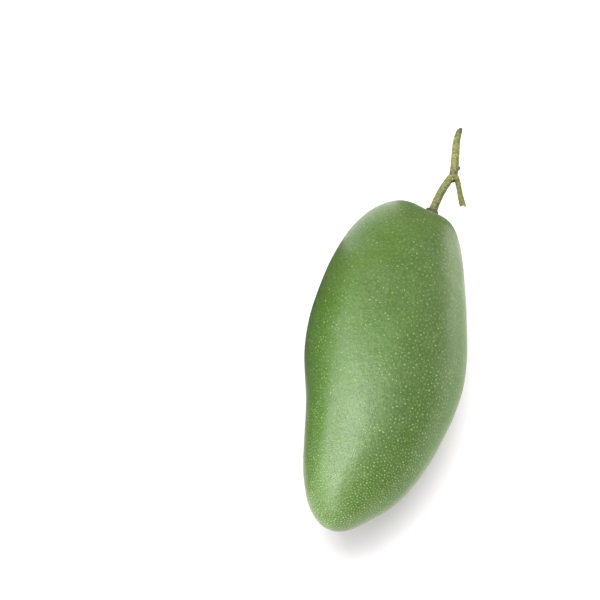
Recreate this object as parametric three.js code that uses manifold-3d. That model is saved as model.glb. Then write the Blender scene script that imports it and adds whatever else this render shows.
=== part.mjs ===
// One long green mango as picked: a whole fruit lying on its broad side, with the short forked stem
// that it hung from. Millimetres, +Z up. The origin is the middle of the small flat spot that the
// fruit rests on. +Y runs along the fruit from its beak to its stem end, and +X points from its
// belly edge to its back edge.
import * as THREE from "three";
import { mergeVertices } from "three/addons/utils/BufferGeometryUtils.js";
import Module from "manifold-3d";

const wasm = await Module();
wasm.setup();

// Driving sizes of the fruit
const HALF_LENGTH = 78; // half of the long axis
const HALF_WIDTH = 37; // half of the broad side's width
const HALF_THICKNESS = 31; // half of the thickness at the middle of the fruit
const MIDDLE_Y = -3; // middle of the long axis, counted from the rest spot
const TAPER = 0.06; // how much thicker the stem end is than the middle, as a share
const REST_CUT = 0.6; // how far the flat spot cuts into the round underside
const SWELL = 0.3; // height of the broad, very low swells of the skin

// The broad side's outline from above as [x, y], in sixteen equal steps of a turn: from the stem end
// down the back edge to the beak, and up the belly edge.
const OUTLINE = [
  [0, 75.5], // stem end
  [14, 68.5], // back shoulder
  [24, 47],
  [31, 24],
  [36.5, -3], // fullest part of the back
  [33.5, -32],
  [25.5, -57],
  [13.5, -73],
  [0, -81.5], // beak
  [-13.5, -72.5],
  [-22, -49.5], // hollow above the beak
  [-27.5, -27],
  [-35, -3],
  [-36, 28.5], // fullest part of the belly
  [-29.5, 58.5],
  [-15, 74.5], // belly shoulder
];

// The dip that the stem stands in
const DIP_CENTRE = new THREE.Vector3(1.5, 73.8, 34);
const DIP_DEPTH = 2.4;
const DIP_RADIUS = 9;

// The stem's centre lines as [x, y, z, radius]
const LOWER_STEM = [
  [1.8, 69, 32, 1.9],
  [2.6, 73.6, 34.2, 1.8],
  [3.2, 77.6, 36.2, 1.7],
  [4.2, 81.8, 38.6, 1.65],
  [5.7, 85.7, 41, 1.6],
  [7.5, 89, 43.2, 1.6],
];
const UPPER_STEM = [
  [7.3, 88.2, 42.8, 1.35],
  [7.4, 90, 43.7, 1.7],
  [6.9, 93.4, 45.4, 1.6],
  [6, 97.9, 47, 1.5],
  [5.1, 102.4, 48.5, 1.4],
  [4.7, 106.3, 49.6, 1.27],
  [4.8, 109.4, 50.5, 1.2],
];
const TWIG = [
  [7.6, 89.6, 43.4, 1.2],
  [9.9, 87.2, 42, 1.1],
  [11.5, 84.9, 39.6, 0.95],
  [13.3, 82.3, 36.5, 1.1],
  [15.2, 80, 33.5, 1.3],
];

// The corky collar at the stem's foot as [radius, height above the skin]
const COLLAR = [
  [0, -3],
  [2.3, -3],
  [2.35, 0.1],
  [2.15, 0.8],
  [1.8, 1.5],
  [0, 1.5],
];

// The knot at the fork and the low scars round it, each as [x, y, z, radius]
const KNOTS = [
  [7.5, 89.5, 43.5, 1.8],
  [6.6, 90, 43.7, 1.1],
  [8.6, 92.4, 44.6, 0.95],
];

// Fineness of the surfaces
const FRUIT_SIDES = 56;
const FRUIT_STATIONS = 40;
const LIMB_SIDES = 12;
const LIMB_RINGS_PER_STATION = 3;
const CLEARANCE = 0.3; // between the stem's foot and the skin
const SAME_PLACE = 1e-4; // vertices nearer to each other than this are one
const KNIFE_SIZE = 12;

const UP_Y = new THREE.Vector3(0, 1, 0);
const { lerp } = THREE.MathUtils;

// Control points of the closed cubic B-spline through the given points: the spline passes through Q
// where (before + 4 D + after) / 6 = Q, and each round brings every D nearer to that.
function splineControls(points, rounds = 40) {
  const count = points.length;
  let controls = points;
  for (let round = 0; round < rounds; round++) {
    controls = points.map((point, k) => {
      const before = controls[(k + count - 1) % count];
      const after = controls[(k + 1) % count];
      return point.map((value, axis) => (6 * value - before[axis] - after[axis]) / 4);
    });
  }
  return controls;
}

const OUTLINE_CONTROLS = splineControls(OUTLINE);

// The point of the broad outline at an angle from the stem end, clockwise from above.
function outlineAt(angle) {
  const count = OUTLINE_CONTROLS.length;
  const turns = angle / (2 * Math.PI);
  const place = (turns - Math.floor(turns)) * count;
  const span = Math.floor(place);
  const f = place - span;
  const weights = [(1 - f) ** 3, 3 * f ** 3 - 6 * f ** 2 + 4, 1 + 3 * f + 3 * f ** 2 - 3 * f ** 3, f ** 3];
  return [0, 1].map((axis) =>
    weights.reduce((sum, weight, k) => {
      const control = OUTLINE_CONTROLS[(span + k - 1 + count) % count];
      return sum + (weight * control[axis]) / 6;
    }, 0),
  );
}

// Broad, very low swells, as a share of the fruit's thickness.
function swellAt(u, v, w) {
  const cross = Math.sin(4.1 * v + 2.3 * u + 0.6) * Math.cos(3.2 * u - 1.7 * w);
  const along = 0.5 * Math.sin(7.3 * v - 3.1 * w);
  return (SWELL / HALF_THICKNESS) * (cross + along);
}

// The skin over the unit sphere's point (u, v, w). A slice at any height is the broad outline drawn
// in towards the middle of the long axis, turning into a plain ellipse near the top and the bottom.
// The height follows half an ellipse, a little taller towards the stem end. The stem's dip and the
// flat rest spot come last.
function skinPoint(u, v, w) {
  const reach = Math.hypot(u, v);
  const angle = Math.atan2(u, v);
  const [outlineX, outlineY] = outlineAt(angle);
  const share = reach ** 2;
  const edgeX = lerp(HALF_WIDTH * Math.sin(angle), outlineX, share);
  const edgeY = lerp(HALF_LENGTH * Math.cos(angle), outlineY - MIDDLE_Y, share);
  const skin = new THREE.Vector3(reach * edgeX, MIDDLE_Y + reach * edgeY, 0);
  const halfHeight = HALF_THICKNESS * (1 + (TAPER * skin.y) / HALF_LENGTH) * (1 + swellAt(u, v, w));
  skin.z = HALF_THICKNESS - REST_CUT + halfHeight * w;
  skin.y -= DIP_DEPTH * Math.exp(-skin.distanceToSquared(DIP_CENTRE) / DIP_RADIUS ** 2);
  skin.z = Math.max(skin.z, 0);
  return skin;
}

// The same geometry with its vertices shared by place alone, so that seams and poles are closed.
function closed(geometry) {
  geometry.deleteAttribute("normal");
  geometry.deleteAttribute("uv");
  return mergeVertices(geometry, SAME_PLACE);
}

// A closed geometry with every vertex moved to where a function sends it.
function moved(geometry, place) {
  const position = geometry.getAttribute("position");
  const vertex = new THREE.Vector3();
  for (let i = 0; i < position.count; i++) {
    position.setXYZ(i, ...place(vertex.fromBufferAttribute(position, i), i));
  }
  return closed(geometry);
}

function fruitGeometry() {
  const sphere = new THREE.SphereGeometry(1, FRUIT_SIDES, FRUIT_STATIONS);
  return moved(sphere, ({ x, y, z }) => skinPoint(x, y, z));
}

// The fruit with its skin moved outwards by the stem's clearance.
function grownFruitGeometry() {
  const fruit = fruitGeometry();
  fruit.computeVertexNormals();
  const normals = fruit.getAttribute("normal");
  const outwards = new THREE.Vector3();
  return moved(fruit, (vertex, i) => {
    outwards.fromBufferAttribute(normals, i);
    return vertex.addScaledVector(outwards, CLEARANCE);
  });
}

// A round limb through [x, y, z, radius] stations: a cylinder of height 1 bent along a smooth curve,
// with the radius running smoothly from station to station.
function limbGeometry(stations) {
  const curve = new THREE.CatmullRomCurve3(stations.map(([x, y, z]) => new THREE.Vector3(x, y, z)));
  const radii = new THREE.SplineCurve(stations.map(([, , , radius], k) => new THREE.Vector2(k, radius)));
  const rings = LIMB_RINGS_PER_STATION * (stations.length - 1);
  const { normals, binormals } = curve.computeFrenetFrames(rings);
  const cylinder = new THREE.CylinderGeometry(1, 1, 1, LIMB_SIDES, rings);
  return moved(cylinder, ({ x, y, z }) => {
    const ring = Math.round((y + 0.5) * rings);
    const share = ring / rings;
    const radius = radii.getPoint(curve.getUtoTmapping(share)).y;
    return curve
      .getPointAt(share)
      .addScaledVector(binormals[ring], radius * x)
      .addScaledVector(normals[ring], radius * z);
  });
}

// A geometry turned so that its +Y points along a direction, and moved to a place.
function stood(geometry, place, direction) {
  geometry.applyQuaternion(new THREE.Quaternion().setFromUnitVectors(UP_Y, direction.normalize()));
  geometry.translate(...place);
  return closed(geometry);
}

function collarGeometry() {
  const profile = COLLAR.map(([radius, height]) => new THREE.Vector2(radius, height));
  const [foot, next] = LOWER_STEM.slice(1, 3).map(([x, y, z]) => new THREE.Vector3(x, y, z));
  return stood(new THREE.LatheGeometry(profile, 2 * LIMB_SIDES), foot, next.sub(foot));
}

function knotGeometry([x, y, z, radius]) {
  const bump = new THREE.SphereGeometry(radius, LIMB_SIDES, LIMB_SIDES / 2);
  bump.translate(x, y, z);
  return closed(bump);
}

// A block whose near face stands at a limb's last station plus an offset, facing along a direction.
function knifeGeometry(stations, offset, direction) {
  const block = new THREE.BoxGeometry(KNIFE_SIZE, KNIFE_SIZE, KNIFE_SIZE);
  block.translate(0, KNIFE_SIZE / 2, 0);
  const [x, y, z] = stations.at(-1);
  return stood(block, new THREE.Vector3(x, y, z).add(offset), direction);
}

// A closed geometry as a solid that can be joined and cut, and such a solid as a geometry again.
function solidOf(geometry) {
  const mesh = new wasm.Mesh({
    numProp: 3,
    vertProperties: new Float32Array(geometry.getAttribute("position").array),
    triVerts: new Uint32Array(geometry.index.array),
  });
  return new wasm.Manifold(mesh);
}

function geometryOf(solid) {
  const { vertProperties, triVerts } = solid.getMesh();
  const geometry = new THREE.BufferGeometry();
  geometry.setAttribute("position", new THREE.BufferAttribute(new Float32Array(vertProperties), 3));
  geometry.setIndex(new THREE.BufferAttribute(new Uint32Array(triVerts), 1));
  return geometry;
}

// The forked stem: a lower limb from the fruit to the fork, an upper limb cut off on a slant, a short
// twig that broke off, the knots at the fork, and a corky collar whose foot follows the skin.
function stemGeometry() {
  const grown = [
    limbGeometry(LOWER_STEM),
    limbGeometry(UPPER_STEM),
    limbGeometry(TWIG),
    collarGeometry(),
    ...KNOTS.map(knotGeometry),
  ];
  const slantCut = knifeGeometry(
    UPPER_STEM,
    new THREE.Vector3(-0.1, -0.7, -0.2),
    new THREE.Vector3(-0.55, 0.75, 0.35),
  );
  const twigBreak = knifeGeometry(
    TWIG,
    new THREE.Vector3(-0.4, 0.5, 0.5),
    new THREE.Vector3(0.1, -0.7, -0.7),
  );
  const whole = grown.map(solidOf).reduce((joined, limb) => joined.add(limb));
  const cut = [slantCut, twigBreak, grownFruitGeometry()].map(solidOf);
  return geometryOf(cut.reduce((left, tool) => left.subtract(tool), whole));
}

function piece(name, geometry, color, roughness) {
  const material = new THREE.MeshStandardMaterial({ color, roughness, metalness: 0 });
  const mesh = new THREE.Mesh(geometry, material);
  mesh.name = name;
  return mesh;
}

const mango = new THREE.Group();
mango.add(piece("mango_fruit", fruitGeometry(), 0x6f9a4c, 0.42));
mango.add(piece("mango_stem", stemGeometry(), 0x8f9653, 0.75));

export default mango;
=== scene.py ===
"""One long green mango as picked, with its short forked stem, on a white studio floor.

Lengths below are in millimetres, in the part's own frame: +Z up, +Y from the beak to the stem end,
+X from the belly edge to the back edge, with the origin in the middle of the flat spot that the
fruit rests on. Meshes are put into the scene in metres.
"""
import math

import bpy
import numpy as np
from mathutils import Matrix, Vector


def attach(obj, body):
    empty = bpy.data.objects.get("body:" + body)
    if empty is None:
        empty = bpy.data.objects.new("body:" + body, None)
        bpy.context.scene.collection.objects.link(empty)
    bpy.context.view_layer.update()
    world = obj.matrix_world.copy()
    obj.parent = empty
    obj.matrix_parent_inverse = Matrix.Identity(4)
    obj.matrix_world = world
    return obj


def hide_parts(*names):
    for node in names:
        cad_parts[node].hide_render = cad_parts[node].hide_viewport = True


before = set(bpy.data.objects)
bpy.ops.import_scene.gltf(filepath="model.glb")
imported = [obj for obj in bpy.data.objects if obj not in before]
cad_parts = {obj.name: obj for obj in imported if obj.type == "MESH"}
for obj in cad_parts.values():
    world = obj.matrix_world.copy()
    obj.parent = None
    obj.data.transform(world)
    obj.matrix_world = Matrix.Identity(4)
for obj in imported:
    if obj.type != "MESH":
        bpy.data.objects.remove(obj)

MM = 0.001
SEED = 11
GOLDEN_ANGLE = math.pi * (3 - math.sqrt(5))
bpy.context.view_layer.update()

# Driving sizes of the fruit, the same as its solid's
HALF_LENGTH = 78.0
HALF_WIDTH = 37.0
HALF_THICKNESS = 31.0
MIDDLE_Y = -3.0
TAPER = 0.06
REST_CUT = 0.6
SWELL = 0.3
OUTLINE = np.array([
    (0, 75.5), (14, 68.5), (24, 47), (31, 24), (36.5, -3), (33.5, -32), (25.5, -57), (13.5, -73),
    (0, -81.5), (-13.5, -72.5), (-22, -49.5), (-27.5, -27), (-35, -3), (-36, 28.5), (-29.5, 58.5),
    (-15, 74.5),
])
DIP_CENTRE = np.array((1.5, 73.8, 34.0))
DIP_DEPTH = 2.4
DIP_RADIUS = 9.0

# Skin relief and fineness
SKIN_SIDES = 360
SKIN_STATIONS = 256
STATION_SPREAD = 0.15
RELIEF_WAVES = 28
RELIEF_HEIGHT = 0.03
RELIEF_SHORTEST, RELIEF_USUAL, RELIEF_LONGEST = 7, 13, 20

# Lenticels: spacing and radius at five places along the fruit, from the beak to the stem end
LENTICEL_PLACE = (-80.0, -45.0, 0.0, 45.0, 74.0)
LENTICEL_SPACING = (1.25, 1.55, 1.95, 2.45, 2.8)
LENTICEL_RADIUS = (0.39, 0.43, 0.43, 0.42, 0.40)
LENTICEL_SIDES = 6
LENTICEL_LEAST, LENTICEL_GROWTH = 0.66, 0.54
LENTICEL_SMALL_ONES = 1.7
LENTICEL_EVEN_SIZE = 0.5
LENTICEL_EVEN_ZONE = (-78.0, -25.0)
LENTICEL_BACK_SHRINK = 0.06
LENTICEL_WOBBLE = 0.12
LENTICEL_RISE = 0.045
LENTICEL_RIM_SINK = 0.012
LENTICEL_SINK = 0.1
LENTICEL_JITTER = 0.4
LENTICEL_CROWDING = 1.15
LENTICEL_SIZE_PALENESS = 0.75
LENTICEL_DIM_ZONE = (-40.0, 30.0)
LENTICEL_DIMMING, LENTICEL_BACK_DIMMING = 0.4, 0.45
CLEAR_OF_STEM = 4.0
CLEAR_OF_FLOOR = 0.4
POLE_MARGIN = 0.02

# The stem: its limbs' centre lines and its knots as (x, y, z, radius)
LOWER_STEM = np.array([
    (1.8, 69, 32, 1.95), (2.6, 73.6, 34.2, 1.9), (3.2, 77.6, 36.2, 1.8), (4.2, 81.8, 38.6, 1.75),
    (5.7, 85.7, 41, 1.7), (7.5, 89, 43.2, 1.7),
])
UPPER_STEM = np.array([
    (7.3, 88.2, 42.8, 1.45), (7.4, 90, 43.7, 1.85), (6.9, 93.4, 45.4, 1.8), (6, 97.9, 47, 1.75),
    (5.1, 102.4, 48.5, 1.6), (4.85, 105.9, 49.5, 1.42), (5.05, 108.2, 50.2, 1.24),
])
TWIG = np.array([
    (7.6, 89.6, 43.4, 1.3), (9.9, 87.2, 42, 1.25), (11.5, 84.9, 39.6, 1.1),
    (13.3, 82.3, 36.5, 1.25), (15.2, 80, 33.5, 1.5),
])
KNOTS = np.array([
    (7.5, 89.5, 43.5, 1.85), (6.6, 90, 43.7, 1.15), (8.05, 86.6, 43.6, 1.4),
    (5.35, 108.7, 50.3, 0.88), (8.75, 92.1, 44.8, 1.05),
])
STEM_FOOT, STEM_FOLLOWING = LOWER_STEM[1, :3], LOWER_STEM[2, :3]
STEM_END, TWIG_END = UPPER_STEM[-1, :3], TWIG[-1, :3]
STEM_VOXEL = 0.16
BUD_MIDDLE = KNOTS[-1, :3] + (0.35, 0, 0)
CUT_MIDDLE = STEM_END + (-0.45, -0.35, 0.6)
FORK = np.array((7.4, 90, 43.7))
FORK_AXIS = np.array((-0.2, 0.88, 0.43))
FORK_REACH = 5.5
LIP = np.array((8.2, 85.6, 43.7))
LIP_AXIS = np.array((0.12, -0.4, 0.91))
LIP_LINE = np.array((0.76, 0.63, 0.18))
TEAR_MIDDLE = TWIG_END - (0, 0.1, 0.1)
TEAR_AXIS = np.array((0.4, -0.55, -0.7))
TEAR_FACING = np.array((0.1, -0.7, -0.7))
TEAR_ACROSS = np.array((0.94, 0.3, 0.15))
TEAR_DEPTH = 1.9
TEAR_HALF_WIDTH = 1.1
TEAR_REACH = 4.0
LIMB_SHIFT = 40.0

# The collar: how far it goes down into the skin and up the stem, its radius, and its flap
COLLAR_FOOT, COLLAR_TOP = -1.6, 0.9
COLLAR_RADIUS = 2.5
COLLAR_DRAW_IN = 0.6
FLAP_LENGTH = 0.75
FLAP_ANGLE = 1.45 * math.pi
FLAP_HALF_ANGLE = 0.22

# How far the stem's skin stands out in all, and how high its bark, cork and marks are on it
BARK_RISE = 0.1
RIDGE_HEIGHT = 0.035
WART_HEIGHT = 0.035
GRAIN_HEIGHT = 0.015
CORK_WARTS = 0.09
CORK_GRAIN = 0.05
TORN_GRAIN = 0.05
RING_HEIGHT = 0.12
LIP_DEPTH = 0.1

# Camera: where it stands round the fruit, and the point that it looks at
CAMERA_AZIMUTH = 16.4
CAMERA_ELEVATION = 65.0
CAMERA_DISTANCE = 724.17
CAMERA_AIM = np.array((-41.24, 10.42, 42.43))
LENS = 100.0
SENSOR_WIDTH = 36.0

# Light: the room's brightness and its soft lobes (azimuth, elevation, sharpness, strength), the
# soft boxes (azimuth, elevation, distance, width, height, brightness), and the cards' corners
ROOM_COLOUR = (0.985, 0.99, 1.0, 1)
ROOM_BASE = 0.18
ROOM_LOBES = ((-20, 8, 9.0, 1.2), (-40, 60, 6.0, 2.2), (116, 15, 6.0, 0.5), (160, 46, 6.0, 0.65))
KEY_LIGHT = (-74, 33, 900, 500, 400, 5.0)
SHINE_LIGHTS = (
    (-28, 77, 900, 480, 380, 9.4), (-99, 59, 900, 400, 340, 6.3), (-26, 30, 900, 420, 700, 3.3),
    (-109, 34, 900, 320, 260, 5.6), (-57, 19, 900, 320, 260, 5.5), (-33, 47, 900, 320, 260, 9.7),
    (130, -3, 900, 700, 280, 1.9),
)
TOP_LIGHT = (66, 62, 900, 500, 400, 2.4)
BOUNCE_LIGHT = (125, -22, 900, 500, 400, 5.4)
TABLE_LIGHT = (-152, 62, 1200, 1400, 1400, 3.85)
TABLE_FILL = (-152, 62, 1200, 1400, 1400, 0.42)
BELLY_FLAG = ((-42, -80, 1), (-42, 64, 1), (-96, -80, 84), (-96, 70, 84))
STEM_FLAG = ((-18, 90, 1), (32, 92, 1), (-34, 146, 54), (38, 144, 46))
BACK_CARD = ((45, -95, 1), (45, 125, 1), (150, -95, 1), (150, 125, 1))
DARK_TONES = ((40, 52, 34), (58, 72, 46))
PALE_TONES = ((188, 196, 184), (200, 207, 195))
FLOOR_REACH = 4000.0

rng = np.random.default_rng(SEED)


def smooth(low, high, x):
    """0 below low, 1 above high, and a smooth cubic step between them."""
    t = np.clip((x - low) / (high - low), 0, 1)
    return t * t * (3 - 2 * t)


def unit(v):
    """Vectors scaled to length 1."""
    return v / np.maximum(np.linalg.norm(v, axis=-1, keepdims=True), 1e-12)


def far_from(points, place):
    """How far each point is from a place."""
    return np.linalg.norm(points - place, axis=-1)


def spline_controls(points, rounds=40):
    """Control points D of the closed cubic B-spline through Q: (before + 4 D + after) / 6 = Q."""
    controls = points.copy()
    for _ in range(rounds):
        controls = (6 * points - np.roll(controls, 1, 0) - np.roll(controls, -1, 0)) / 4
    return controls


OUTLINE_CONTROLS = spline_controls(OUTLINE)


def outline_at(angle):
    """Points of the closed outline at angles from the stem end, clockwise from above."""
    count = len(OUTLINE_CONTROLS)
    place = angle / (2 * np.pi) % 1 * count
    span = np.floor(place).astype(int)
    f = (place - span)[..., None]
    before, here, after, later = (OUTLINE_CONTROLS[(span + k) % count] for k in (-1, 0, 1, 2))
    return (
        (1 - f) ** 3 * before
        + (3 * f**3 - 6 * f**2 + 4) * here
        + (1 + 3 * f + 3 * f**2 - 3 * f**3) * after
        + f**3 * later
    ) / 6


def skin(station, side):
    """The fruit's skin over a sphere whose poles are the stem end (station 0) and the beak (pi).

    A slice at any height is the broad outline drawn in towards the middle of the long axis, turning
    into a plain ellipse near the top and the bottom. The height follows half an ellipse, a little
    taller towards the stem end, with broad low swells made of sines. The stem's dip comes last: a
    bell-shaped hollow along Y. The flat spot is cut where the skin is made.
    """
    u, v, w = np.sin(station) * np.cos(side), np.cos(station), np.sin(station) * np.sin(side)
    reach = np.hypot(u, v)[..., None]
    angle = np.arctan2(u, v)
    middle = np.array((0, MIDDLE_Y))
    plain = np.stack([HALF_WIDTH * np.sin(angle), HALF_LENGTH * np.cos(angle)], -1)
    edge = plain + (outline_at(angle) - middle - plain) * reach**2
    xy = middle + reach * edge
    cross = np.sin(4.1 * v + 2.3 * u + 0.6) * np.cos(3.2 * u - 1.7 * w)
    swell = SWELL / HALF_THICKNESS * (cross + 0.5 * np.sin(7.3 * v - 3.1 * w))
    half_height = HALF_THICKNESS * (1 + TAPER * xy[..., 1] / HALF_LENGTH) * (1 + swell)
    z = HALF_THICKNESS - REST_CUT + half_height * w
    points = np.concatenate([xy, z[..., None]], -1)
    apart = ((points - DIP_CENTRE) ** 2).sum(-1)
    points[..., 1] -= DIP_DEPTH * np.exp(-apart / DIP_RADIUS**2)
    return points


def skin_normal(station, side, step=2e-3):
    """Outward normals of the skin, from the cross product of its two small differences."""
    station = np.clip(station, 3 * step, np.pi - 3 * step)
    along = skin(station + step, side) - skin(station - step, side)
    around = skin(station, side + step) - skin(station, side - step)
    return unit(np.cross(around, along))


RELIEF_DIRECTIONS = unit(rng.normal(size=(RELIEF_WAVES, 3)))
RELIEF_LENGTHS = rng.uniform(RELIEF_SHORTEST, RELIEF_LONGEST, RELIEF_WAVES)
RELIEF_PHASES = rng.uniform(0, 2 * np.pi, RELIEF_WAVES)


def relief(points):
    """Uneven skin: a sum of faint plane waves in seeded directions, the longer ones higher."""
    waves = points @ (RELIEF_DIRECTIONS * (2 * np.pi / RELIEF_LENGTHS)[:, None]).T + RELIEF_PHASES
    total = (np.sin(waves) * RELIEF_LENGTHS / RELIEF_USUAL).sum(-1)
    return RELIEF_HEIGHT * np.sqrt(2 / RELIEF_WAVES) * total


NO_QUADS, NO_TRIANGLES = np.zeros((0, 4), int), np.zeros((0, 3), int)


def grid_faces(rows, columns):
    """Quads of a grid of rows whose columns run round and close on themselves.

    They face outwards where the columns run clockwise, looking from the first row to the last.
    """
    row, column = np.meshgrid(np.arange(rows - 1), np.arange(columns), indexing="ij")
    here, beside = row * columns + column, row * columns + (column + 1) % columns
    return np.stack([here, beside, beside + columns, here + columns], -1).reshape(-1, 4)


def mesh_piece(name, points, quads, triangles):
    """A smooth-shaded mesh object at the origin, from points in millimetres and its faces."""
    mesh = bpy.data.meshes.new(name)
    corners = np.concatenate([quads.ravel(), triangles.ravel()]).astype(np.int32)
    sizes = np.concatenate([np.full(len(quads), 4), np.full(len(triangles), 3)])
    starts = np.concatenate([[0], np.cumsum(sizes)[:-1]]).astype(np.int32)
    mesh.vertices.add(len(points))
    mesh.vertices.foreach_set("co", (points * MM).astype(np.float32).ravel())
    mesh.loops.add(len(corners))
    mesh.loops.foreach_set("vertex_index", corners)
    mesh.polygons.add(len(sizes))
    mesh.polygons.foreach_set("loop_start", starts)
    mesh.update(calc_edges=True)
    mesh.shade_smooth()
    piece = bpy.data.objects.new(name, mesh)
    bpy.context.scene.collection.objects.link(piece)
    return piece


def closed_tube(rings):
    """Points and faces of rings (rows, columns, 3), closed by a point in each end ring."""
    rows, columns = rings.shape[:2]
    points = np.concatenate([rings.reshape(-1, 3), rings[:1].mean(1), rings[-1:].mean(1)])
    column = np.arange(columns)
    start, end = rows * columns, rows * columns + 1
    last = (rows - 1) * columns
    caps = np.concatenate([
        np.stack([np.full(columns, start), (column + 1) % columns, column], -1),
        np.stack([np.full(columns, end), last + column, last + (column + 1) % columns], -1),
    ])
    return points, grid_faces(rows, columns), caps


def number(piece, name, values):
    """A number for each vertex, for the piece's material to read by name."""
    attribute = piece.data.attributes.new(name, "FLOAT", "POINT")
    attribute.data.foreach_set("value", values.astype(np.float32))


# Fruit
def make_skin():
    """The skin on a grid of stations and sides, raised along its normals by the relief.

    A sine term spreads the stations out, so that the faces stay nearly square along the fruit.
    Whatever would be below the floor is lifted onto it, which is the flat spot. The number "back"
    is the cosine of the side: 1 along the back edge and -1 along the belly edge.
    """
    share = np.linspace(0, 1, SKIN_STATIONS + 1)[1:-1, None]
    station = np.pi * share + STATION_SPREAD * np.sin(2 * np.pi * share)
    side = np.linspace(0, 2 * np.pi, SKIN_SIDES, endpoint=False)[None, :]
    station, side = np.broadcast_arrays(station, side)
    points = skin(station, side)
    points += skin_normal(station, side) * relief(points)[..., None]
    points[..., 2] = np.maximum(points[..., 2], 0)
    piece = mesh_piece("mango_skin", *closed_tube(points))
    number(piece, "back", np.append(np.cos(side).ravel(), (0, 0)))
    return piece


def spread_out(station, side, rounds=7, neighbours=150, firmness=0.25, step=1e-3):
    """Dots on the skin moved gently apart: each is pushed away from those that stand too close.

    The push grows as the gap gets smaller than a little over the spacing. The dots are in order of
    their stations, so a dot's neighbours are among the next few in the list, before and after it.
    """
    for _ in range(rounds):
        place = skin(station, side)
        reach = LENTICEL_CROWDING * np.interp(place[:, 1], LENTICEL_PLACE, LENTICEL_SPACING)
        push = np.zeros_like(place)
        for apart in range(1, neighbours):
            gap = place[apart:] - place[:-apart]
            distance = np.maximum(np.linalg.norm(gap, axis=-1), 0.05)
            wanted = reach[apart:]
            share = np.clip(1 - distance / wanted, 0, 1) * firmness * wanted / distance
            push[apart:] += gap * share[:, None]
            push[:-apart] -= gap * share[:, None]
        down = (skin(station + step, side) - skin(station - step, side)) / (2 * step)
        around = (skin(station, side + step) - skin(station, side - step)) / (2 * step)
        station = station + (push * down).sum(-1) / (down**2).sum(-1)
        side = side + (push * around).sum(-1) / np.maximum((around**2).sum(-1), 4)
        station = np.clip(station, POLE_MARGIN, np.pi - POLE_MARGIN)
    return station, side


def scattered_dots(rows=801, columns=181, least_girth=0.2):
    """Stations and sides of the dots, spaced evenly for their place on the fruit.

    The area of each row of a fine grid, over the square of the spacing, is how many dots it takes.
    Equal shares of their sum give each dot's station, and its side turns by the golden angle. Both
    are jittered, and the dots then pushed apart.
    """
    station = np.linspace(0, np.pi, rows)
    side = np.linspace(0, 2 * np.pi, columns)
    surface = skin(*np.meshgrid(station, side, indexing="ij"))
    girth = np.linalg.norm(np.diff(surface, axis=1), axis=-1).sum(1)
    along = np.linalg.norm(np.gradient(surface, axis=0), axis=-1).mean(1)
    spacing = np.interp(surface[..., 1].mean(1), LENTICEL_PLACE, LENTICEL_SPACING)
    total = np.cumsum(girth * along / spacing**2)
    count = int(total[-1])
    dot = np.arange(count)
    station = np.interp((dot + 0.5) / count, total / total[-1], station)
    side = dot * GOLDEN_ANGLE
    place = skin(station, side)
    spacing = np.interp(place[:, 1], LENTICEL_PLACE, LENTICEL_SPACING)
    jitter = rng.normal(0, LENTICEL_JITTER, (2, count)) * spacing
    station = np.clip(station + jitter[0] / HALF_LENGTH, POLE_MARGIN, np.pi - POLE_MARGIN)
    side = side + jitter[1] / (HALF_THICKNESS * np.maximum(np.sin(station), least_girth))
    return spread_out(station, side)


def make_lenticels():
    """Pale cork dots, the larger ones paler, and all more even and paler towards the beak.

    Each is a low six-sided lens that follows the skin's relief, partly sunk in it: a wavy rim in
    the skin's plane, a top point above it and a bottom point below. A power of a random share
    makes most of them small, but none is below an even size near the beak. None is under the
    stem's collar or on the flat spot.
    """
    station, side = scattered_dots()
    place, normal = skin(station, side), skin_normal(station, side)
    clear = (far_from(place, STEM_FOOT) > CLEAR_OF_STEM) & (place[:, 2] > CLEAR_OF_FLOOR)
    place, normal, back = place[clear], normal[clear], np.cos(side[clear])
    place += normal * relief(place)[:, None]
    size = rng.uniform(0, 1, len(place)) ** LENTICEL_SMALL_ONES
    size = np.maximum(size, LENTICEL_EVEN_SIZE * (1 - smooth(*LENTICEL_EVEN_ZONE, place[:, 1])))
    radius = np.interp(place[:, 1], LENTICEL_PLACE, LENTICEL_RADIUS)
    radius *= (LENTICEL_LEAST + LENTICEL_GROWTH * size) * (1 - LENTICEL_BACK_SHRINK * back)
    across = unit(np.cross(normal, (0, 0, 1.0) + 0.1 * normal))
    up = np.cross(normal, across)
    turn = 2 * np.pi * np.arange(LENTICEL_SIDES)[None, :, None] / LENTICEL_SIDES
    rim_shape = np.cos(turn) * across[:, None] + np.sin(turn) * up[:, None]
    wobble = 1 + LENTICEL_WOBBLE * rng.normal(size=(len(place), LENTICEL_SIDES, 1))
    rim = (place - LENTICEL_RIM_SINK * normal)[:, None] + radius[:, None, None] * wobble * rim_shape
    top = place + LENTICEL_RISE * normal
    bottom = place - LENTICEL_SINK * normal
    points = np.concatenate([rim, top[:, None], bottom[:, None]], 1)
    k = np.arange(LENTICEL_SIDES)
    fan = np.concatenate([
        np.stack([k, (k + 1) % LENTICEL_SIDES, np.full_like(k, LENTICEL_SIDES)], -1),
        np.stack([(k + 1) % LENTICEL_SIDES, k, np.full_like(k, LENTICEL_SIDES + 1)], -1),
    ])
    faces = (fan[None] + (LENTICEL_SIDES + 2) * np.arange(len(place))[:, None, None]).reshape(-1, 3)
    piece = mesh_piece("mango_lenticels", points.reshape(-1, 3), NO_QUADS, faces)
    chance = rng.uniform(0, 1 - LENTICEL_SIZE_PALENESS, len(place))
    paleness = np.clip(LENTICEL_SIZE_PALENESS * size + chance, 0, 1)
    paleness *= 1 - LENTICEL_DIMMING * smooth(*LENTICEL_DIM_ZONE, place[:, 1])
    paleness *= 1 - LENTICEL_BACK_DIMMING * back
    number(piece, "paleness", np.repeat(paleness, LENTICEL_SIDES + 2))
    return piece


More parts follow.
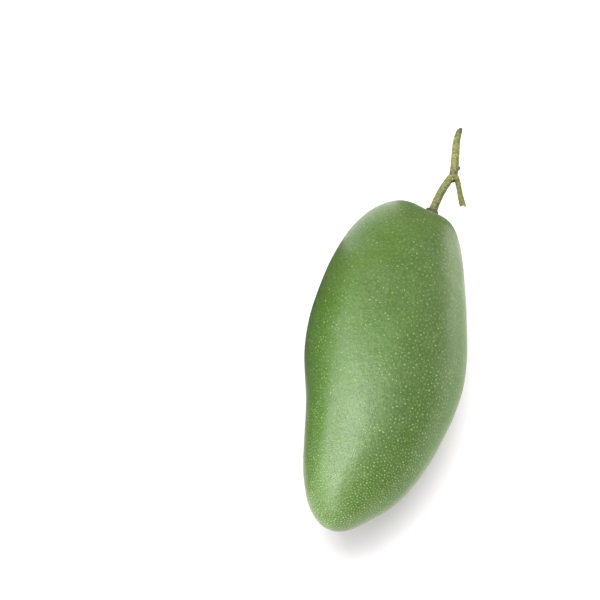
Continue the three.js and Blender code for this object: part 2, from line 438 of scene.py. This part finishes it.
# Stem
def catmull(stations, per_span=12):
    """Points and radii on the Catmull-Rom curve through the stations, as many in each span."""
    first, last = 2 * stations[:1] - stations[1:2], 2 * stations[-1:] - stations[-2:-1]
    padded = np.concatenate([first, stations, last])
    spans = len(stations) - 1
    place = np.linspace(0, spans, spans * per_span + 1)
    span = np.minimum(place.astype(int), spans - 1)
    f = (place - span)[:, None]
    a, b, c, d = (padded[span + k] for k in range(4))
    square, cube = 2 * a - 5 * b + 4 * c - d, 3 * b - a - 3 * c + d
    return 0.5 * (2 * b + (c - a) * f + square * f**2 + cube * f**3)


def level_axes(along):
    """The two directions square to a limb's own: one level, and the other upwards."""
    across = unit(np.cross(along, (0, 0, 1.0)))
    return across, np.cross(across, along)


def limb(stations, sides=32):
    """A round limb's rings, square to its curve, with the sides counted from straight up."""
    curve = catmull(stations)
    centre, radius = curve[:, :3], curve[:, 3]
    across, up = level_axes(unit(np.gradient(centre, axis=0)))
    turn = np.linspace(0, 2 * np.pi, sides, endpoint=False)[None, :, None]
    rim = np.cos(turn) * up[:, None] + np.sin(turn) * across[:, None]
    return centre[:, None] + radius[:, None, None] * rim


def torn_twig():
    """The twig's rings, cut back to a V: whatever lies past it slides back along the twig onto it.

    The V is a plane through the twig's end, deepened in the middle and running out to both sides.
    """
    axis, facing, across = unit(TEAR_AXIS), unit(TEAR_FACING), unit(TEAR_ACROSS)
    rings = limb(TWIG)
    from_tear = rings - TEAR_MIDDLE
    notch = np.clip(1 - np.abs(from_tear @ across) / TEAR_HALF_WIDTH, 0, 1)
    beyond = from_tear @ facing + TEAR_DEPTH * notch
    return rings - axis * (np.maximum(beyond, 0) / (axis @ facing))[..., None]


def merged(parts):
    """Points and faces of several closed tubes as one, with each tube's faces renumbered."""
    bases = np.cumsum([0] + [len(points) for points, _, _ in parts])
    points, quads, caps = zip(*parts)
    quads = np.concatenate([faces + base for faces, base in zip(quads, bases)])
    caps = np.concatenate([faces + base for faces, base in zip(caps, bases)])
    return np.concatenate(points), quads, caps


def make_stem():
    """Limbs, knots and collar, joined by a fine voxel remesh, smoothed, and given their bark."""
    tubes = limb(LOWER_STEM), limb(UPPER_STEM), torn_twig(), collar(), *map(knot, KNOTS)
    rough = mesh_piece("stem_rough", *merged([closed_tube(rings) for rings in tubes]))
    remesh = rough.modifiers.new("join", "REMESH")
    remesh.mode = "VOXEL"
    remesh.voxel_size = STEM_VOXEL * MM
    soften = rough.modifiers.new("soften", "SMOOTH")
    soften.factor = 0.5
    soften.iterations = 4
    bpy.context.view_layer.update()
    finished = rough.evaluated_get(bpy.context.evaluated_depsgraph_get())
    joined = bpy.data.meshes.new_from_object(finished)
    bpy.data.objects.remove(rough)
    joined.name = "mango_stem_bark"
    joined.shade_smooth()
    piece = bpy.data.objects.new("mango_stem_bark", joined)
    bpy.context.scene.collection.objects.link(piece)
    bark(piece)
    return piece


def knot(place, rows=12, sides=24):
    """A small ball as rings from pole to pole."""
    lift = np.linspace(0.05, np.pi - 0.05, rows)[:, None]
    turn = np.linspace(0, 2 * np.pi, sides, endpoint=False)[None, :]
    x, y, z = np.sin(lift) * np.cos(turn), np.cos(lift) + 0 * turn, np.sin(lift) * np.sin(turn)
    return place[:3] + place[3] * np.stack([x, y, z], -1)


def collar(rows=16, sides=48):
    """A low flared ring round the stem's foot, drawn in towards its top.

    Its radius has two sine waves and one pointed flap to the left, which fade out up the stem.
    """
    along = unit(STEM_FOLLOWING - STEM_FOOT)
    across, up = level_axes(along)
    height = np.linspace(COLLAR_FOOT, COLLAR_TOP, rows)[:, None]
    turn = np.linspace(0, 2 * np.pi, sides, endpoint=False)[None, :]
    flare = COLLAR_RADIUS - COLLAR_DRAW_IN * smooth(0.0, 0.8, height)
    wave = 0.1 * np.sin(5 * turn + 0.7) + 0.07 * np.sin(11 * turn + 2)
    from_flap = (turn - FLAP_ANGLE + np.pi) % (2 * np.pi) - np.pi
    flap = FLAP_LENGTH * np.exp(-(from_flap / FLAP_HALF_ANGLE) ** 2)
    radius = flare + (wave + flap) * (1 - smooth(0.2, 0.8, height))
    rim = np.cos(turn)[..., None] * up + np.sin(turn)[..., None] * across
    return STEM_FOOT + height[..., None] * along + radius[..., None] * rim


def limb_places(points):
    """Each point's angle round the nearest limb, from straight up, and its length along it.

    The lengths of the limbs start far apart, so that their ridges wander differently.
    """
    curves = [catmull(stations)[:, :3] for stations in (LOWER_STEM, UPPER_STEM, TWIG)]
    steps = [np.gradient(curve, axis=0) for curve in curves]
    lengths = np.concatenate([
        np.cumsum(np.linalg.norm(step, axis=-1)) + LIMB_SHIFT * k for k, step in enumerate(steps)
    ])
    centres, tangents = np.concatenate(curves), unit(np.concatenate(steps))
    nearest = ((points[:, None] - centres[None]) ** 2).sum(-1).argmin(1)
    away, along = points - centres[nearest], tangents[nearest]
    across, up = level_axes(along)
    turn = np.arctan2((away * across).sum(-1), (away * up).sum(-1))
    return turn, lengths[nearest] + (away * along).sum(-1)


def stem_marks(points, warts):
    """Numbers from 0 to 1 that say how far each point of the stem is in each of its marked places.

    Each is a smooth step in a distance or in the place along an axis, and the warts make most of
    their edges uneven. The crevice is a short line, from a distance that counts little of the way
    along its axis and none of the way along its line.
    """
    up_stem = (points - STEM_FOOT) @ unit(STEM_FOLLOWING - STEM_FOOT)
    cork = 1 - smooth(0.6, 1.3, up_stem + 0.22 * warts)
    cut = smooth(0.55, 0.3, far_from(points, CUT_MIDDLE))
    cut_edge = 1 - smooth(1.5, 2.6, far_from(points, STEM_END) + 0.3 * warts)
    torn = smooth(-1.9, -0.7, (points - TWIG_END) @ unit(TEAR_AXIS) + 0.2 * warts)
    torn = torn * (far_from(points, TWIG_END) < TEAR_REACH)
    at_fork = far_from(points, FORK) < FORK_REACH
    up_fork = (points - FORK) @ FORK_AXIS
    above_fork = smooth(-1.2, -0.7, up_fork + 0.2 * warts)
    above_fork = above_fork * (1 - smooth(0.7, 2.2, up_fork + 0.6 * warts))
    bud = 1 - smooth(1.0, 1.4, far_from(points, BUD_MIDDLE))
    ring = np.exp(-(((up_fork + 1.6) / 0.4) ** 2)) * at_fork
    from_lip = points - LIP
    deep, sideways = from_lip @ unit(LIP_AXIS), from_lip @ unit(LIP_LINE)
    from_line = (from_lip**2).sum(-1) - 0.95 * deep**2 - sideways**2
    shaded_crevice = smooth(0.15, 0.6, np.exp(-from_line / 0.5**2 - (sideways / 1.4) ** 2))
    return {
        "cork": cork, "cut": cut, "cut_edge": cut_edge, "torn": torn,
        "scar": np.maximum(above_fork * at_fork, bud), "ring": ring, "shaded_crevice": shaded_crevice,
    }


def bark(piece):
    """Moves the stem's skin out or in along its normals, and numbers its marked places.

    Shallow ridges, sines of the angle round the limb, wander along it, and small warts and a fine
    grain, sums of plane waves, stand on them. The cork and the tear are rougher, a ring stands
    below the fork, and the crevice is sunk.
    """
    mesh = piece.data
    points, normals = (np.empty(3 * len(mesh.vertices), np.float32) for _ in range(2))
    mesh.vertices.foreach_get("co", points)
    mesh.vertex_normals.foreach_get("vector", normals)
    points, normals = (values.reshape(-1, 3).astype(float) for values in (points, normals))
    points /= MM
    turn, length = limb_places(points)
    ridge = np.sin(7 * turn + 1.3 * np.sin(0.35 * length)) + 0.6 * np.sin(12 * turn - 0.22 * length)
    warts = waves_of(points, count=26, shortest=0.9, longest=2.6)
    grain = waves_of(points, count=30, shortest=0.45, longest=0.9)
    marks = stem_marks(points, warts)
    cork, plain = marks["cork"], (1 - marks["cork"]) * (1 - marks["cut"])
    height = BARK_RISE + RING_HEIGHT * marks["ring"] - LIP_DEPTH * marks["shaded_crevice"]
    height += plain * (RIDGE_HEIGHT * ridge + WART_HEIGHT * warts + GRAIN_HEIGHT * grain)
    height += cork * (CORK_WARTS * warts + CORK_GRAIN * grain) + marks["torn"] * TORN_GRAIN * grain
    points += normals * height[:, None]
    mesh.vertices.foreach_set("co", (points * MM).astype(np.float32).ravel())
    mesh.update()
    for name, values in {**marks, "ridge": 0.5 + 0.3 * ridge}.items():
        number(piece, name, values)


def waves_of(points, count, shortest, longest):
    """A seeded sum of plane waves between two lengths, about 1 high."""
    directions = unit(rng.normal(size=(count, 3)))
    lengths = rng.uniform(shortest, longest, count)
    phases = rng.uniform(0, 2 * np.pi, count)
    total = np.sin(points @ (directions * (2 * np.pi / lengths)[:, None]).T + phases).sum(-1)
    return total * np.sqrt(2 / count)


# Materials
class Paint:
    """A node-based material being built. Most methods add a node and return its output."""

    def __init__(self, name):
        self.material = bpy.data.materials.new(name)
        self.material.use_nodes = True
        self.tree = self.material.node_tree
        self.shader = self.tree.nodes["Principled BSDF"]
        coordinates = self.tree.nodes.new("ShaderNodeTexCoord")
        millimetres = self.tree.nodes.new("ShaderNodeMapping")
        millimetres.inputs["Scale"].default_value = (1 / MM,) * 3
        self.tree.links.new(coordinates.outputs["Object"], millimetres.inputs["Vector"])
        self.place = millimetres.outputs["Vector"]

    def join(self, source, socket):
        """Puts a node's output, or else a plain value, into a socket."""
        if isinstance(source, bpy.types.NodeSocket):
            self.tree.links.new(source, socket)
        else:
            socket.default_value = source

    def noise(self, size, detail=2.0, roughness=0.5, distortion=0.0, stretch=None):
        """Noise from 0 to 1 whose lumps are about size millimetres across."""
        node = self.tree.nodes.new("ShaderNodeTexNoise")
        node.inputs["Scale"].default_value = 1 / size
        node.inputs["Detail"].default_value = detail
        node.inputs["Roughness"].default_value = roughness
        node.inputs["Distortion"].default_value = distortion
        place = self.place
        if stretch:
            mapping = self.tree.nodes.new("ShaderNodeMapping")
            mapping.inputs["Scale"].default_value = stretch
            self.tree.links.new(place, mapping.inputs["Vector"])
            place = mapping.outputs["Vector"]
        self.tree.links.new(place, node.inputs["Vector"])
        return node.outputs["Fac"]

    def specks(self, size, radius):
        """Round specks in cells that are size across: 1 at the middle, 0 past the radius."""
        node = self.tree.nodes.new("ShaderNodeTexVoronoi")
        node.inputs["Scale"].default_value = 1 / size
        self.tree.links.new(self.place, node.inputs["Vector"])
        return self.ramp(node.outputs["Distance"], radius / size, radius / size * 0.45)

    def attribute(self, name):
        """The number that the mesh keeps for each vertex under this name."""
        node = self.tree.nodes.new("ShaderNodeAttribute")
        node.attribute_name = name
        return node.outputs["Fac"]

    def ramp(self, value, low, high, to_low=0.0, to_high=1.0):
        """A value taken smoothly from low..high to to_low..to_high."""
        node = self.tree.nodes.new("ShaderNodeMapRange")
        node.interpolation_type = "SMOOTHSTEP"
        self.join(value, node.inputs["Value"])
        node.inputs["From Min"].default_value = low
        node.inputs["From Max"].default_value = high
        node.inputs["To Min"].default_value = to_low
        node.inputs["To Max"].default_value = to_high
        return node.outputs["Result"]

    def sums(self, operation, first, second):
        """One sum of two values, by the name that a Math node has for it."""
        node = self.tree.nodes.new("ShaderNodeMath")
        node.operation = operation
        self.join(first, node.inputs[0])
        self.join(second, node.inputs[1])
        return node.outputs["Value"]

    def times(self, first, second):
        """Two values multiplied."""
        return self.sums("MULTIPLY", first, second)

    def mix(self, factor, first, second):
        """A colour between two: the first where the factor is 0, the second where it is 1."""
        node = self.tree.nodes.new("ShaderNodeMix")
        node.data_type = "RGBA"
        self.join(factor, node.inputs[0])
        self.join(first, node.inputs[6])
        self.join(second, node.inputs[7])
        return node.outputs[2]

    def along(self, axis, low, high):
        """0 to 1 between two places on one of the part's axes."""
        node = self.tree.nodes.new("ShaderNodeSeparateXYZ")
        self.tree.links.new(self.place, node.inputs["Vector"])
        return self.ramp(node.outputs[axis], low, high)

    def near(self, point, inner, outer):
        """1 within inner of a point, 0 past outer."""
        node = self.tree.nodes.new("ShaderNodeVectorMath")
        node.operation = "DISTANCE"
        self.tree.links.new(self.place, node.inputs[0])
        node.inputs[1].default_value = point
        return self.ramp(node.outputs["Value"], outer, inner)

    def bump(self, height, distance, under=None):
        """A normal for a height that stands for so many millimetres between 0 and 1."""
        node = self.tree.nodes.new("ShaderNodeBump")
        node.inputs["Strength"].default_value = 1.0
        node.inputs["Distance"].default_value = distance * MM
        self.join(height, node.inputs["Height"])
        if under is not None:
            self.tree.links.new(under, node.inputs["Normal"])
        return node.outputs["Normal"]

    def finish(self, **inputs):
        """The material, with the shader's inputs given by name, and _ for a space."""
        for name, value in inputs.items():
            self.join(value, self.shader.inputs[name.replace("_", " ")])
        return self.material


def colour(red, green, blue):
    """A colour given as it looks on a screen, 0 to 255, as the linear colour that shaders take."""
    shares = np.array((red, green, blue)) / 255
    linear = np.where(shares > 0.04045, ((shares + 0.055) / 1.055) ** 2.4, shares / 12.92)
    return (*linear, 1.0)


def skin_paint():
    """Waxy green skin: leaf green with yellower zones, bloom and a fine grain, a deeper back that
    is partly painted shade, and painted light on the belly side and the middle below the shoulders.

    "back" with some noise on it sets the zones round the fruit, and Y those along it.
    """
    paint = Paint("mango_skin")
    broad = paint.ramp(paint.noise(34, 2.5, 0.5, 0.4), 0.36, 0.66)
    green = paint.mix(broad, colour(82, 116, 41), colour(94, 128, 50))
    backwards = paint.sums("ADD", paint.attribute("back"), paint.noise(22, 3, 0.5))
    # Deeper green on the back: partly the skin's own tone, partly painted shade on the side turned
    # from the light
    green = paint.mix(paint.ramp(backwards, 0.5, 0.95, 0.0, 0.75), green, colour(79, 111, 41))
    # Painted light: a lighter green over the middle and the belly side below the shoulders, and a
    # lighter one still along the belly side
    painted_light_zone = paint.times(paint.ramp(backwards, 0.95, 0.35, 0.0, 0.7), paint.along("Y", 24, -14))
    green = paint.mix(painted_light_zone, green, colour(84, 130, 49))
    green = paint.mix(paint.ramp(backwards, 0.3, -0.15, 0.0, 0.55), green, colour(94, 140, 50))
    yellower = paint.times(paint.along("Y", -5, 60), paint.ramp(paint.noise(26, 2), 0.35, 0.65))
    green = paint.mix(paint.times(yellower, 0.6), green, colour(104, 130, 54))
    tip = paint.times(paint.along("Y", -52, -80), 0.4)
    green = paint.mix(tip, green, colour(109, 146, 60))
    bloom = paint.ramp(paint.noise(14, 4, 0.6), 0.42, 0.75, 0.0, 0.3)
    green = paint.mix(bloom, green, colour(110, 137, 82))
    grain = paint.ramp(paint.noise(1.2, 3, 0.7), 0.36, 0.66, 0.0, 0.5)
    green = paint.mix(grain, green, colour(66, 94, 32))
    fibres = paint.ramp(paint.noise(0.9, 3, 0.6, 0.5, (1, 0.3, 1)), 0.5, 0.7, 0.0, 0.35)
    green = paint.mix(fibres, green, colour(124, 150, 74))
    pores = paint.times(paint.specks(1.4, 0.42), 0.42)
    green = paint.mix(pores, green, colour(136, 163, 84))
    dark = paint.times(paint.specks(9, 0.5), 0.55)
    green = paint.mix(dark, green, colour(52, 70, 34))
    # Darker green within a few millimetres of the stem's foot
    stem_foot_darkening = paint.times(paint.near(tuple(STEM_FOOT), 2.2, 5.5), 0.55)
    green = paint.mix(stem_foot_darkening, green, colour(70, 86, 40))
    dimples = paint.bump(paint.noise(3.2, 2, 0.5), 0.13)
    pitted = paint.bump(paint.noise(1.1, 3, 0.6), 0.12, under=dimples)
    roughness = paint.ramp(paint.noise(7, 4, 0.6), 0.3, 0.7, 0.32, 0.42)
    paint.shader.inputs["IOR"].default_value = 1.5
    paint.shader.inputs["Sheen Weight"].default_value = 0.2
    paint.shader.inputs["Sheen Roughness"].default_value = 0.35
    paint.shader.inputs["Sheen Tint"].default_value = (0.85, 1.0, 0.75, 1)
    return paint.finish(Base_Color=green, Roughness=roughness, Normal=pitted)


def lenticel_paint():
    """Pale yellow-green cork, some dots paler than others."""
    paint = Paint("mango_lenticels")
    pale = paint.mix(paint.attribute("paleness"), colour(112, 145, 71), colour(172, 203, 132))
    uneven = paint.ramp(paint.noise(0.5, 2), 0.35, 0.7, 0.0, 0.3)
    mottled = paint.mix(uneven, pale, colour(120, 147, 73))
    return paint.finish(Base_Color=mottled, Roughness=0.45)


def stem_paint():
    """Olive bark mottled green and yellow-brown with rusty specks.

    It has brown scars and cork, a crevice painted dark as shade, a pale cut with a dark edge,
    and pale torn fibres.
    """
    paint = Paint("mango_stem_bark")
    mottle = paint.ramp(paint.noise(1.3, 4, 0.65, 0.6), 0.4, 0.6)
    low = paint.mix(mottle, colour(74, 110, 42), colour(138, 143, 62))
    high = paint.mix(mottle, colour(98, 124, 50), colour(160, 156, 70))
    bark_green = paint.mix(paint.along("Y", 84, 95), low, high)
    streak = paint.ramp(paint.attribute("ridge"), 0.2, 0.9, 0.0, 0.3)
    bark_green = paint.mix(streak, bark_green, colour(118, 136, 66))
    warts = paint.specks(1.1, 0.4)
    bark_green = paint.mix(paint.times(warts, 0.85), bark_green, colour(184, 152, 56))
    flecks = paint.ramp(paint.noise(0.75, 2, 0.5), 0.53, 0.63, 0.0, 0.8)
    bark_green = paint.mix(flecks, bark_green, colour(98, 70, 40))
    uneven = paint.ramp(paint.noise(0.6, 3, 0.6), 0.35, 0.65)
    brown = paint.mix(uneven, colour(46, 38, 26), colour(112, 92, 68))
    ring = paint.times(paint.attribute("ring"), 0.6)
    base = paint.mix(ring, bark_green, colour(164, 160, 96))
    patchy = paint.ramp(paint.noise(0.9, 3, 0.6), 0.35, 0.6, 0.4, 0.9)
    base = paint.mix(paint.times(paint.attribute("scar"), patchy), base, brown)
    base = paint.mix(paint.attribute("cork"), base, paint.mix(0.4, brown, colour(112, 116, 78)))
    # Painted shade: the sunk crevice under the fork is painted near-black green
    base = paint.mix(paint.times(paint.attribute("shaded_crevice"), 0.9), base, colour(30, 38, 18))
    rim = paint.times(paint.attribute("cut_edge"), 0.85)
    base = paint.mix(rim, base, colour(86, 84, 60))
    base = paint.mix(paint.attribute("cut"), base, colour(150, 140, 108))
    torn = paint.times(paint.attribute("torn"), 0.8)
    base = paint.mix(torn, base, colour(158, 172, 112))
    normal = paint.bump(paint.noise(0.4, 3, 0.6), 0.07)
    return paint.finish(Base_Color=base, Roughness=0.6, Normal=normal)


def floor_paint():
    """White paint, its tone uneven by a hair."""
    paint = Paint("studio_floor")
    white = paint.mix(paint.noise(120, 2), colour(241, 235, 240), colour(244, 239, 243))
    return paint.finish(Base_Color=white, Roughness=0.8)


# Studio
def place_piece(piece, node, paint):
    """The piece gets its paint, rides on the part's one body and stands for one of its nodes."""
    piece.data.materials.clear()
    piece.data.materials.append(paint)
    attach(piece, "root")
    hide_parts(node)


def make_floor():
    """A white floor, far wider than any view of the fruit."""
    corners = FLOOR_REACH * np.array([(-1, -1, 0), (1, -1, 0), (1, 1, 0), (-1, 1, 0)])
    floor = mesh_piece("studio_floor", corners, np.array([[0, 1, 2, 3]]), NO_TRIANGLES)
    floor.data.materials.append(floor_paint())
    return floor


def direction(azimuth, elevation):
    """The unit vector towards a place round the fruit: azimuth 0 is at -Y, and 90 at +X."""
    a, e = math.radians(azimuth), math.radians(elevation)
    return np.array((math.sin(a) * math.cos(e), -math.cos(a) * math.cos(e), math.sin(e)))


def gathered(name, *pieces):
    """A collection of pieces, for a light to be limited to."""
    group = bpy.data.collections.new(name)
    for piece in pieces:
        group.objects.link(piece)
    return group


def soft_box(name, azimuth, elevation, distance, width, height, brightness, lit, shading):
    """A rectangular light that faces the middle of the fruit.

    It lights only what the first collection holds, and only the second one's pieces stop it.
    """
    lamp = bpy.data.lights.new(name, "AREA")
    lamp.shape = "RECTANGLE"
    lamp.size, lamp.size_y = width * MM, height * MM
    lamp.energy = brightness * math.pi * lamp.size * lamp.size_y
    box = bpy.data.objects.new(name, lamp)
    towards = direction(azimuth, elevation)
    box.location = (np.array((0, 0, HALF_THICKNESS)) + distance * towards) * MM
    box.rotation_euler = Vector(towards).to_track_quat("Z", "Y").to_euler()
    bpy.context.scene.collection.objects.link(box)
    box.light_linking.receiver_collection = lit
    box.light_linking.blocker_collection = shading
    return box


def make_room():
    """A dim white room: its brightness is a low even value plus a few soft lobes.

    Each lobe falls off with exp(sharpness * (cosine of the angle from its middle - 1)).
    """
    world = bpy.data.worlds.new("studio_room")
    world.use_nodes = True
    tree = world.node_tree
    background = tree.nodes["Background"]
    coordinates = tree.nodes.new("ShaderNodeTexCoord")
    total = ROOM_BASE
    for azimuth, elevation, sharpness, strength in ROOM_LOBES:
        cosine = tree.nodes.new("ShaderNodeVectorMath")
        cosine.operation = "DOT_PRODUCT"
        tree.links.new(coordinates.outputs["Generated"], cosine.inputs[0])
        cosine.inputs[1].default_value = tuple(direction(azimuth, elevation))
        value = cosine.outputs["Value"]
        for operation, amount in (
            ("SUBTRACT", 1), ("MULTIPLY", sharpness), ("EXPONENT", None), ("MULTIPLY", strength),
            ("ADD", total),
        ):
            node = tree.nodes.new("ShaderNodeMath")
            node.operation = operation
            tree.links.new(value, node.inputs[0])
            if isinstance(amount, bpy.types.NodeSocket):
                tree.links.new(amount, node.inputs[1])
            elif amount is not None:
                node.inputs[1].default_value = amount
            value = node.outputs["Value"]
        total = value
    tree.links.new(total, background.inputs["Strength"])
    background.inputs["Color"].default_value = ROOM_COLOUR
    bpy.context.scene.world = world


def light_studio(pieces, floor, flag, card):
    """The soft boxes: the key light gives the fruit both colour and gloss.

    The shine lights show in its gloss alone, and the top and bounce lights in its colour alone.
    The table lights reach only the floor and the card.
    """
    fruit = gathered("fruit", *pieces)
    fruit_and_flag = gathered("fruit_and_flag", flag, *pieces)
    soft_box("key_light", *KEY_LIGHT, fruit, fruit_and_flag)
    for k, light in enumerate(SHINE_LIGHTS, 1):
        soft_box(f"shine_light_{k}", *light, fruit, fruit_and_flag).visible_diffuse = False
    soft_box("top_light", *TOP_LIGHT, fruit, fruit).visible_glossy = False
    bounce = soft_box("bounce_light", *BOUNCE_LIGHT, fruit, fruit)
    bounce.visible_glossy = False
    # It shines up through the floor, where only rays from the light count
    bounce.data.cycles.use_multiple_importance_sampling = False
    table = gathered("table", floor, card)
    soft_box("table_light", *TABLE_LIGHT, table, fruit).visible_glossy = False
    soft_box("table_fill", *TABLE_FILL, table, table).visible_glossy = False


def make_card(name, corners, tones):
    """A card that the camera doesn't see, from the points of its lower edge, then its upper one.

    It keeps the white floor's reflection off the edge of the fruit or the stem that it stands by.
    """
    columns = len(corners) // 2
    k = np.arange(columns - 1)
    quads = np.stack([k, k + 1, k + 1 + columns, k + columns], -1)
    card = mesh_piece(name, np.array(corners), quads, NO_TRIANGLES)
    paint = Paint(name)
    mottled = paint.mix(paint.noise(40, 2), *(colour(*tone) for tone in tones))
    card.data.materials.append(paint.finish(Base_Color=mottled, Roughness=0.9))
    card.visible_camera = False
    return card


def set_camera():
    """The camera looks along its direction at the point that it aims at, and stands upright."""
    camera = bpy.data.cameras.new("camera")
    camera.lens = LENS
    camera.sensor_width = SENSOR_WIDTH
    camera.clip_start, camera.clip_end = 0.01, 20.0
    stand = bpy.data.objects.new("camera", camera)
    back = direction(CAMERA_AZIMUTH, CAMERA_ELEVATION)
    stand.location = (CAMERA_AIM + CAMERA_DISTANCE * back) * MM
    stand.rotation_mode = "QUATERNION"
    stand.rotation_quaternion = Vector(back).to_track_quat("Z", "Y")
    bpy.context.scene.collection.objects.link(stand)
    bpy.context.scene.camera = stand
    bpy.context.scene.view_settings.view_transform = "Standard"


set_camera()
fruit_skin, lenticels, stem = make_skin(), make_lenticels(), make_stem()
place_piece(fruit_skin, "mango_fruit", skin_paint())
place_piece(lenticels, "mango_fruit", lenticel_paint())
place_piece(stem, "mango_stem", stem_paint())
belly_flag = make_card("belly_flag", BELLY_FLAG, DARK_TONES)
stem_flag = make_card("stem_flag", STEM_FLAG, DARK_TONES)
back_card = make_card("back_card", BACK_CARD, PALE_TONES)
for gloss_card in (stem_flag, back_card):
    gloss_card.visible_diffuse = gloss_card.visible_shadow = False
studio_floor = make_floor()
make_room()
light_studio((fruit_skin, lenticels, stem), studio_floor, belly_flag, back_card)
